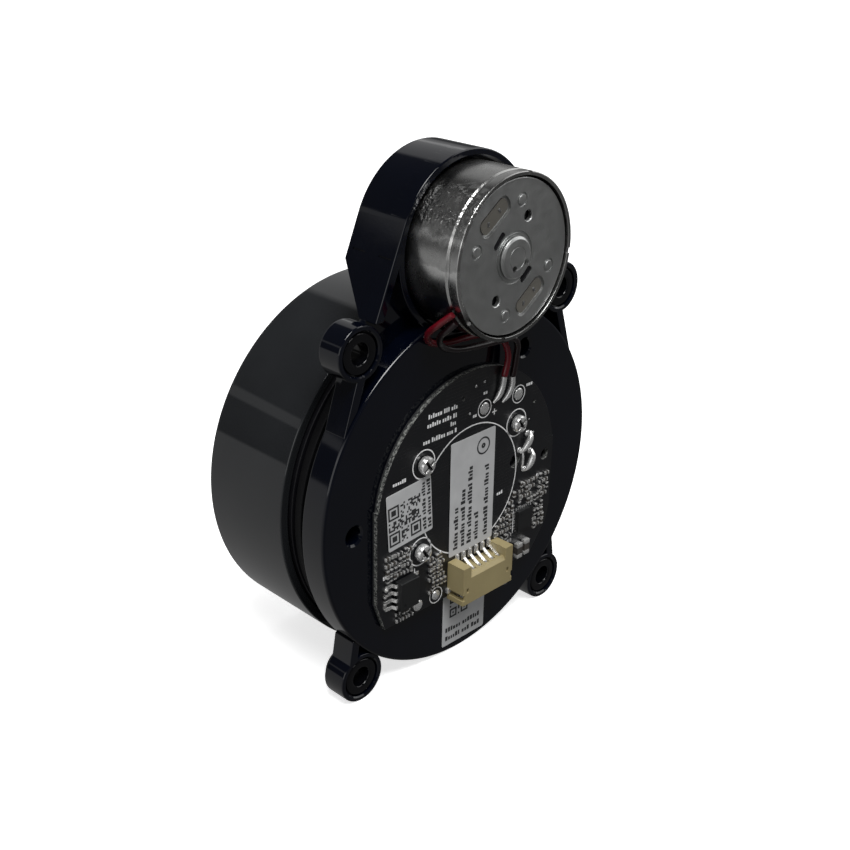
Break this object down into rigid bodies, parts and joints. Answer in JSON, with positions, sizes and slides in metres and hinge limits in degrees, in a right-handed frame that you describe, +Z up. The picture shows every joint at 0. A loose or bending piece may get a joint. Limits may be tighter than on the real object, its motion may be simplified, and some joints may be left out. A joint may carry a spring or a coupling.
{
  "type": "lidar scanner module",
  "caption": "Spinning range-scanner module: a round base with a motor arm and rubber-bushed ears, a belt-driven turret with lens and laser behind it, and a round board with a plug socket.",
  "frame": {"origin": "middle of the footprint, on the surface that the module stands on with its two lower ears", "axes": "+Z up, from the turret's axis towards the motor; +Y along the turret's spin axis, from the circuit board to the turret; +X to the right seen from the circuit board"},
  "size_m": [0.0596, 0.0352, 0.0827],
  "materials": {
    "black_plastic": "semi-gloss moulded",
    "gloss_black": "high gloss, infrared-clear black",
    "rubber": "matt",
    "steel": "bright zinc-plated",
    "plate_steel": "satin pressed steel",
    "nylon": "natural ivory nylon",
    "ferrite": "matt sintered",
    "copper": "enamelled copper wire",
    "brass": "satin",
    "solder_mask": "black solder mask over tracks",
    "chip_epoxy": "matt moulded",
    "label_foil": "satin light-grey film",
    "lens_glass": "coated glass",
    "red_insulation": "glossy flexible sleeve",
    "black_insulation": "glossy flexible sleeve"
  },
  "bodies": {
    "base": {"base_frame": "black_plastic", "grommet_upper_left": "rubber", "grommet_upper_right": "rubber", "grommet_lower_left": "rubber", "grommet_lower_right": "rubber", "pulley_cover": "black_plastic", "drive_belt": "rubber", "pulley_cover_screw_1": "steel", "pulley_cover_screw_2": "steel", "motor_screw_1": "steel", "motor_screw_2": "steel", "motor_can": "steel", "bearing_inner_ring": "steel", "bearing_clip": "steel", "board_screw_1": "steel", "board_screw_2": "steel", "board_screw_3": "steel", "connector_pins": "steel", "motor_end_plate": "plate_steel", "motor_bush": "plate_steel", "motor_brush_plate": "nylon", "connector_housing": "nylon", "motor_magnet": "ferrite", "ferrite_base": "ferrite", "coil_base": "copper", "wireless_board": "solder_mask", "driver_chip": "chip_epoxy", "controller_chip": "chip_epoxy", "centre_label": "label_foil", "code_label": "label_foil", "base_label": "label_foil", "link_emitter": "lens_glass", "motor_lead_red": "red_insulation", "motor_lead_black": "black_insulation"},
    "turret": {"turret_base": "black_plastic", "turret_cover": "gloss_black", "optics_bezel": "black_plastic", "optics_carrier": "black_plastic", "receiver_barrel": "black_plastic", "receiver_lens": "lens_glass", "laser_module": "brass", "laser_lens": "lens_glass", "sensor_board": "solder_mask", "image_sensor": "chip_epoxy", "turret_board": "solder_mask", "turret_chip": "chip_epoxy", "turret_board_screw_1": "steel", "turret_board_screw_2": "steel", "turret_board_screw_3": "steel", "turret_cover_screw_1": "steel", "turret_cover_screw_2": "steel", "turret_cover_screw_3": "steel", "bearing_outer_ring": "steel", "ferrite_turret": "ferrite", "coil_turret": "copper", "link_receiver": "lens_glass"},
    "motor_rotor": {"motor_shaft": "steel", "motor_rotor": "copper", "motor_pulley": "nylon"},
    "bearing_cage": {"bearing_balls": "steel"}
  },
  "joints": [
    {"name": "turret_spin", "type": "hinge", "parent": "base", "child": "turret", "pos_m": [0, 0, 0.02985], "axis": [0, 1, 0], "continuous": true},
    {"name": "pulley_spin", "type": "hinge", "parent": "base", "child": "motor_rotor", "pos_m": [0, 0, 0.06885], "axis": [0, 1, 0], "continuous": true},
    {"name": "cage_spin", "type": "hinge", "parent": "base", "child": "bearing_cage", "pos_m": [0, 0, 0.02985], "axis": [0, 1, 0], "continuous": true}
  ],
  "couplings": [
    {"joint": "pulley_spin", "follows": "turret_spin", "ratio": 5.9674},
    {"joint": "cage_spin", "follows": "turret_spin", "ratio": 0.54}
  ]
}
